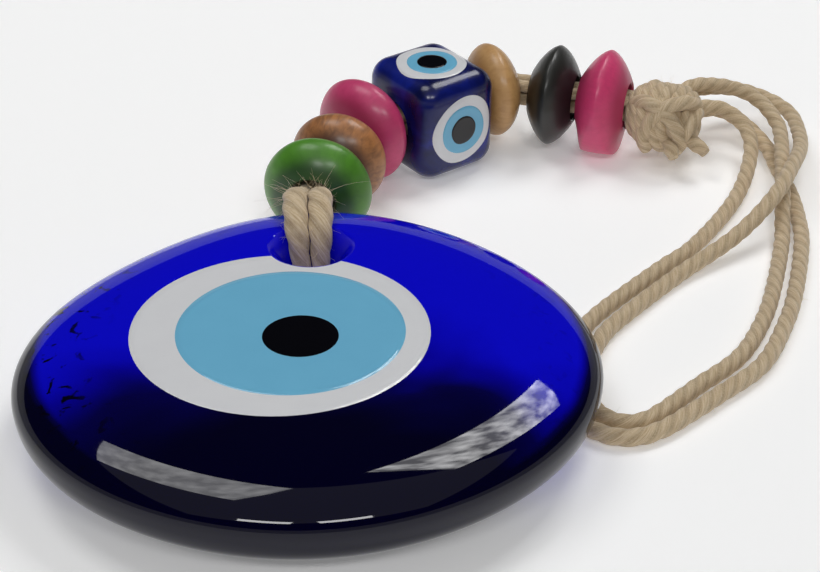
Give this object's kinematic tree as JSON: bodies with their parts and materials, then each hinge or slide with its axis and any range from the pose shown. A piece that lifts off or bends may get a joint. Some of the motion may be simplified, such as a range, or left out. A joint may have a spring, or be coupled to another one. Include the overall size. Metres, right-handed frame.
{
  "type": "evil eye ornament",
  "caption": "Pierced cobalt glass eye disc hung on a doubled plant-fibre cord with a cube bead and saucer beads, a knot and long hanging loops.",
  "frame": {"origin": "centre of the glass disc's flat back", "axes": "+Z out of the eye's face, +Y from the disc's centre towards its cord hole, +X to the right seen from the front with the hole at the top"},
  "size_m": [0.1164, 0.1161, 0.0168],
  "materials": {
    "cobalt_glass": "deep cobalt, transparent, glossy",
    "white_glass": "opaque white, glossy",
    "light_blue_glass": "opaque light blue, glossy",
    "black_glass": "opaque black, glossy",
    "navy_glass": "near opaque navy, glossy",
    "green_wood": "lacquered green, satin",
    "brown_wood": "lacquered brown, satin",
    "pink_wood": "lacquered pink, satin",
    "tan_wood": "lacquered tan, satin",
    "black_wood": "lacquered black, satin",
    "hemp": "twisted natural plant-fibre cord, rough"
  },
  "bodies": {
    "cord": {"cord_strand_left": "hemp", "cord_strand_right": "hemp", "cord_knot": "hemp", "cord_tail_long": "hemp", "cord_tail_short": "hemp", "hanging_loop_inner": "hemp", "hanging_loop_outer": "hemp"},
    "disc": {"glass_disc": "cobalt_glass", "eye_white": "white_glass", "eye_light_blue": "light_blue_glass", "eye_pupil": "black_glass"},
    "bead_green": {"bead_green": "green_wood"},
    "bead_brown": {"bead_brown": "brown_wood"},
    "bead_pink_inner": {"bead_pink_inner": "pink_wood"},
    "bead_cube": {"bead_cube": "navy_glass", "cube_top_white": "white_glass", "cube_top_light_blue": "light_blue_glass", "cube_top_pupil": "black_glass", "cube_front_white": "white_glass", "cube_front_light_blue": "light_blue_glass", "cube_front_pupil": "black_glass", "cube_bottom_white": "white_glass", "cube_bottom_light_blue": "light_blue_glass", "cube_bottom_pupil": "black_glass", "cube_back_white": "white_glass", "cube_back_light_blue": "light_blue_glass", "cube_back_pupil": "black_glass"},
    "bead_tan": {"bead_tan": "tan_wood"},
    "bead_black": {"bead_black": "black_wood"},
    "bead_pink_outer": {"bead_pink_outer": "pink_wood"}
  },
  "joints": [
    {"name": "disc_swing", "type": "hinge", "parent": "cord", "child": "disc", "pos_m": [0.0003, 0.0299, 0.005], "axis": [-1, 0, 0], "range_deg": [0, 120]},
    {"name": "bead_green_spin", "type": "hinge", "parent": "cord", "child": "bead_green", "pos_m": [0.00149, 0.04478, 0.005], "axis": [0.2553, 0.9669, 0], "continuous": true},
    {"name": "bead_brown_spin", "type": "hinge", "parent": "cord", "child": "bead_brown", "pos_m": [0.00481, 0.05355, 0.005], "axis": [0.3675, 0.93, 0], "continuous": true},
    {"name": "bead_pink_inner_spin", "type": "hinge", "parent": "cord", "child": "bead_pink_inner", "pos_m": [0.00865, 0.06275, 0.005], "axis": [0.6797, 0.7335, 0], "continuous": true},
    {"name": "bead_cube_spin", "type": "hinge", "parent": "cord", "child": "bead_cube", "pos_m": [0.01958, 0.06885, 0.005], "axis": [0.8345, 0.551, 0], "continuous": true},
    {"name": "bead_tan_spin", "type": "hinge", "parent": "cord", "child": "bead_tan", "pos_m": [0.02966, 0.07541, 0.005], "axis": [0.953, 0.3031, 0], "continuous": true},
    {"name": "bead_black_spin", "type": "hinge", "parent": "cord", "child": "bead_black", "pos_m": [0.03948, 0.07319, 0.005], "axis": [0.9321, -0.3622, 0], "continuous": true},
    {"name": "bead_pink_outer_spin", "type": "hinge", "parent": "cord", "child": "bead_pink_outer", "pos_m": [0.04709, 0.07038, 0.005], "axis": [0.9282, -0.3721, 0], "continuous": true}
  ]
}
